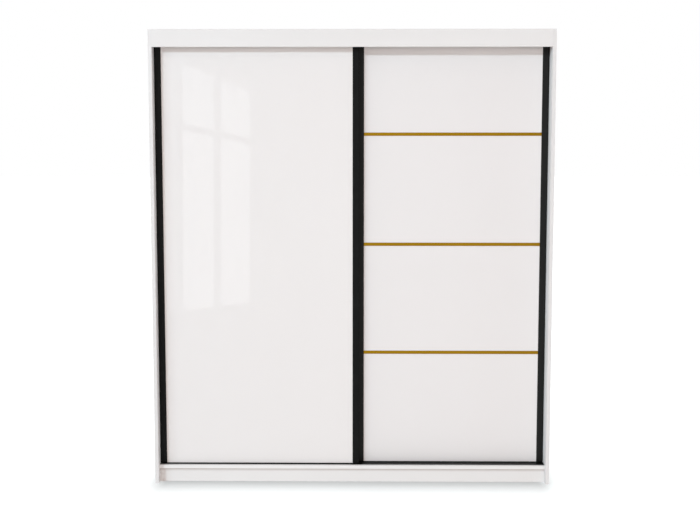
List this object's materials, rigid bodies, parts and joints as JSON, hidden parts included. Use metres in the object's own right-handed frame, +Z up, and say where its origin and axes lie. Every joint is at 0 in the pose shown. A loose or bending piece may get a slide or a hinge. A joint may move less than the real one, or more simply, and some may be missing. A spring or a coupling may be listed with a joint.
{
  "type": "sliding door wardrobe",
  "caption": "White wardrobe with two sliding doors on offset tracks: one plain gloss door and one with brass coloured bands, framed by black uprights.",
  "frame": {"origin": "on the floor, under the middle of the carcass", "axes": "+Z up, +Y towards the back, +X to the right seen from the front"},
  "size_m": [1.8, 0.6, 2.05],
  "materials": {
    "white_board": "satin white melamine board",
    "gloss_panel": "high gloss white laminate",
    "back_sheet": "thin white hardboard",
    "black_aluminium": "black anodised, satin",
    "brass_band": "brass coloured anodised, brushed",
    "chrome_tube": "polished",
    "zinc": "bright die cast zinc",
    "screw_steel": "zinc plated",
    "nylon": "natural nylon",
    "black_plastic": "moulded",
    "black_rubber": "matte",
    "brush_pile": "short pile"
  },
  "bodies": {
    "carcass": {"left_side_panel": "white_board", "right_side_panel": "white_board", "top_panel": "white_board", "bottom_panel": "white_board", "header_board": "white_board", "front_plinth": "white_board", "rear_plinth": "white_board", "plinth_cross_rail": "white_board", "partition": "white_board", "left_back_sheet": "back_sheet", "right_back_sheet": "back_sheet", "left_hat_shelf": "white_board", "right_hat_shelf": "white_board", "lower_shelf": "white_board", "middle_shelf": "white_board", "upper_shelf": "white_board", "shelf_pins": "zinc", "hanging_rail": "chrome_tube", "rail_sockets": "zinc", "socket_screws": "screw_steel", "cam_locks": "zinc", "cam_bolts": "screw_steel", "top_track": "black_aluminium", "bottom_track": "black_aluminium", "track_screws": "screw_steel", "door_stops": "black_rubber"},
    "left_door": {"left_door_panel": "gloss_panel", "left_door_left_stile": "black_aluminium", "left_door_right_stile": "black_aluminium", "left_door_top_rail": "black_aluminium", "left_door_bottom_rail": "black_aluminium", "left_door_wheel_blocks": "black_plastic", "left_door_axles": "screw_steel", "left_door_guide_blocks": "black_plastic", "left_door_guide_pins": "screw_steel", "left_door_screws": "screw_steel", "left_door_brushes": "brush_pile"},
    "right_door": {"right_door_bottom_panel": "gloss_panel", "right_door_lower_panel": "gloss_panel", "right_door_upper_panel": "gloss_panel", "right_door_top_panel": "gloss_panel", "right_door_bands": "brass_band", "right_door_left_stile": "black_aluminium", "right_door_right_stile": "black_aluminium", "right_door_top_rail": "black_aluminium", "right_door_bottom_rail": "black_aluminium", "right_door_wheel_blocks": "black_plastic", "right_door_axles": "screw_steel", "right_door_guide_blocks": "black_plastic", "right_door_guide_pins": "screw_steel", "right_door_screws": "screw_steel", "right_door_brush": "brush_pile"},
    "left_door_left_wheel_body": {"left_door_left_wheel": "nylon"},
    "left_door_right_wheel_body": {"left_door_right_wheel": "nylon"},
    "left_door_left_roller_body": {"left_door_left_roller": "nylon"},
    "left_door_right_roller_body": {"left_door_right_roller": "nylon"},
    "right_door_left_wheel_body": {"right_door_left_wheel": "nylon"},
    "right_door_right_wheel_body": {"right_door_right_wheel": "nylon"},
    "right_door_left_roller_body": {"right_door_left_roller": "nylon"},
    "right_door_right_roller_body": {"right_door_right_roller": "nylon"}
  },
  "joints": [
    {"name": "left_door_slide", "type": "slide", "parent": "carcass", "child": "left_door", "axis": [1, 0, 0], "range_m": [0, 0.85]},
    {"name": "right_door_slide", "type": "slide", "parent": "carcass", "child": "right_door", "axis": [1, 0, 0], "range_m": [-0.907, 0]},
    {"name": "left_door_left_wheel_spin", "type": "hinge", "parent": "left_door", "child": "left_door_left_wheel_body", "pos_m": [-0.823, -0.22525, 0.0923], "axis": [0, 1, 0], "continuous": true},
    {"name": "left_door_right_wheel_spin", "type": "hinge", "parent": "left_door", "child": "left_door_right_wheel_body", "pos_m": [-0.027, -0.22525, 0.0923], "axis": [0, 1, 0], "continuous": true},
    {"name": "right_door_left_wheel_spin", "type": "hinge", "parent": "right_door", "child": "right_door_left_wheel_body", "pos_m": [0.084, -0.19125, 0.0923], "axis": [0, 1, 0], "continuous": true},
    {"name": "right_door_right_wheel_spin", "type": "hinge", "parent": "right_door", "child": "right_door_right_wheel_body", "pos_m": [0.823, -0.19125, 0.0923], "axis": [0, 1, 0], "continuous": true},
    {"name": "left_door_left_roller_spin", "type": "hinge", "parent": "left_door", "child": "left_door_left_roller_body", "pos_m": [-0.823, -0.22525, 2.012], "axis": [0, 0, 1], "continuous": true},
    {"name": "left_door_right_roller_spin", "type": "hinge", "parent": "left_door", "child": "left_door_right_roller_body", "pos_m": [-0.027, -0.22525, 2.012], "axis": [0, 0, 1], "continuous": true},
    {"name": "right_door_left_roller_spin", "type": "hinge", "parent": "right_door", "child": "right_door_left_roller_body", "pos_m": [0.084, -0.19125, 2.012], "axis": [0, 0, 1], "continuous": true},
    {"name": "right_door_right_roller_spin", "type": "hinge", "parent": "right_door", "child": "right_door_right_roller_body", "pos_m": [0.823, -0.19125, 2.012], "axis": [0, 0, 1], "continuous": true}
  ],
  "couplings": [
    {"joint": "left_door_left_wheel_spin", "follows": "left_door_slide", "rad_per_m": 90.909},
    {"joint": "left_door_right_wheel_spin", "follows": "left_door_slide", "rad_per_m": 90.909},
    {"joint": "right_door_left_wheel_spin", "follows": "right_door_slide", "rad_per_m": 90.909},
    {"joint": "right_door_right_wheel_spin", "follows": "right_door_slide", "rad_per_m": 90.909},
    {"joint": "left_door_left_roller_spin", "follows": "left_door_slide", "rad_per_m": -62.893},
    {"joint": "left_door_right_roller_spin", "follows": "left_door_slide", "rad_per_m": -62.893},
    {"joint": "right_door_left_roller_spin", "follows": "right_door_slide", "rad_per_m": -62.893},
    {"joint": "right_door_right_roller_spin", "follows": "right_door_slide", "rad_per_m": -62.893}
  ]
}
